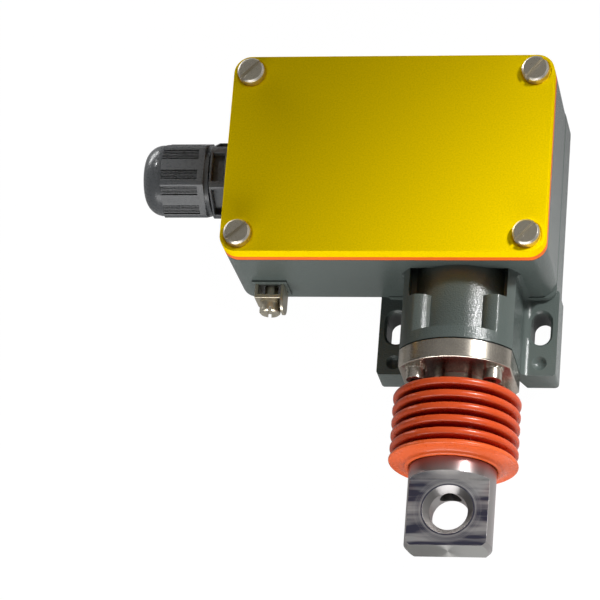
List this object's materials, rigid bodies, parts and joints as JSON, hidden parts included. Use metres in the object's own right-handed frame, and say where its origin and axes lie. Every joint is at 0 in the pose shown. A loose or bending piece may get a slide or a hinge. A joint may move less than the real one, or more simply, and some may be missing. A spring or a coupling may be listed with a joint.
{
  "type": "rope pull switch",
  "caption": "Rope pull switch: die-cast box with a flat cover, a round nose with a steel flange, folded bellows and a turned pull eye, cable gland and slotted mounting ears.",
  "frame": {"origin": "midway between the two mounting slots, on the mounting face", "axes": "+Z is the cover's outward normal and the way the mounting face turns its back on, -Y is the way the rope pulls the eye, +X goes from the cable gland across the box"},
  "size_m": [0.1556, 0.1826, 0.0613],
  "materials": {
    "blue_grey_coat": "fine-textured powder coat on a zinc or aluminium die casting",
    "yellow_coat": "satin powder coat",
    "orange_silicone": "smooth moulded silicone",
    "black_rubber": "moulded rubber",
    "black_plastic": "moulded polyamide",
    "white_plastic": "moulded acetal",
    "brass": "plain or nickelled brass",
    "stainless_steel": "turned or stamped, bare"
  },
  "bodies": {
    "housing_unit": {"housing": "blue_grey_coat", "cover": "yellow_coat", "cover_gasket": "orange_silicone", "cover_screws": "stainless_steel", "flange_gasket": "black_rubber", "bearing_flange": "stainless_steel", "flange_screws": "stainless_steel", "flange_lock_washers": "stainless_steel", "guide_bush": "brass", "spindle_seal": "black_rubber", "bellows": "orange_silicone", "return_spring": "stainless_steel", "contact_carrier": "stainless_steel", "carrier_screws": "stainless_steel", "block_screws": "stainless_steel", "gland_washer": "black_rubber", "gland_body": "black_plastic", "gland_seal": "black_rubber", "gland_nut": "black_plastic", "earth_clamp": "brass", "earth_washer": "stainless_steel", "earth_screw": "stainless_steel", "inner_earth_clamp": "brass", "inner_earth_screw": "stainless_steel", "contact_block_1": "black_plastic", "fixed_contacts_1": "brass", "terminal_screws_1": "stainless_steel", "plunger_spring_1": "stainless_steel", "contact_block_2": "black_plastic", "fixed_contacts_2": "brass", "terminal_screws_2": "stainless_steel", "plunger_spring_2": "stainless_steel"},
    "pull_rod": {"pull_eye": "stainless_steel", "pull_spindle": "stainless_steel", "spring_plate": "stainless_steel", "switching_cam": "stainless_steel", "lock_nut": "stainless_steel"},
    "plunger_unit_1": {"plunger_1": "white_plastic", "contact_bridge_1": "brass"},
    "plunger_unit_2": {"plunger_2": "white_plastic", "contact_bridge_2": "brass"}
  },
  "joints": [
    {"name": "rod_pull", "type": "slide", "parent": "housing_unit", "child": "pull_rod", "axis": [0, -1, 0], "range_m": [0, 0.008], "stiffness_N_per_m": 4000, "springref_m": -0.004, "deforming": ["bellows", "return_spring"]},
    {"name": "plunger_1_push", "type": "slide", "parent": "housing_unit", "child": "plunger_unit_1", "axis": [-1, 0, 0], "range_m": [0, 0.0024], "deforming": ["plunger_spring_1"]},
    {"name": "plunger_2_push", "type": "slide", "parent": "housing_unit", "child": "plunger_unit_2", "axis": [-1, 0, 0], "range_m": [0, 0.0024], "deforming": ["plunger_spring_2"]}
  ],
  "couplings": [
    {"joint": "plunger_1_push", "follows": "rod_pull", "ratio": 0.3},
    {"joint": "plunger_2_push", "follows": "rod_pull", "ratio": 0.3}
  ]
}
